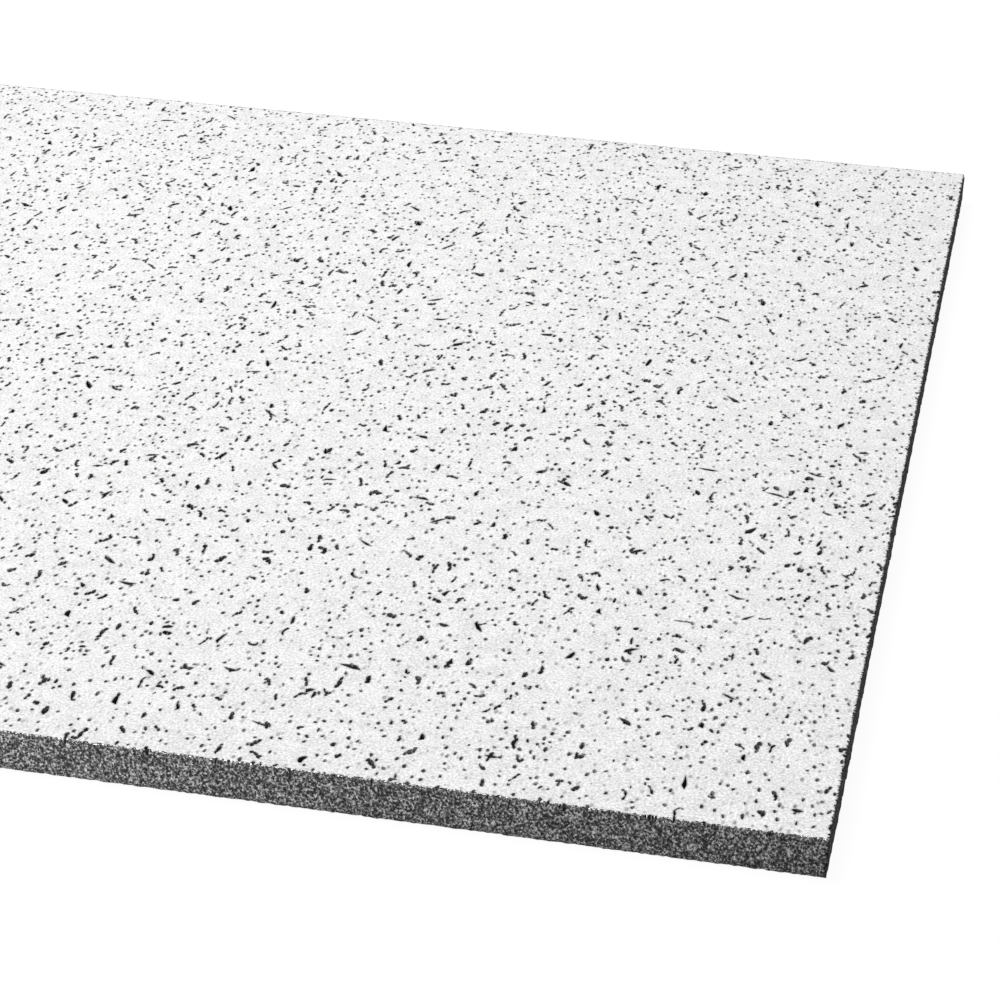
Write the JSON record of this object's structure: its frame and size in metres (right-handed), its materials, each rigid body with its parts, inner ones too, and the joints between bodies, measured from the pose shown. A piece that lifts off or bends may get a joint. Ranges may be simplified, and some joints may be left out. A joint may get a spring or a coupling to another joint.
{
  "type": "suspended ceiling tile",
  "caption": "Square-edged lay-in ceiling board of mineral fibre with a white painted face broken by short fissures and fine pinholes, and raw grey sawn edges.",
  "frame": {"origin": "middle of the back face, on which the board lies", "axes": "+Z out of the painted face, +X along one pair of edges and +Y along the other"},
  "size_m": [0.595, 0.595, 0.015],
  "materials": {
    "painted_fibre": "matte"
  },
  "bodies": {
    "root": {"tile": "painted_fibre"}
  },
  "joints": []
}
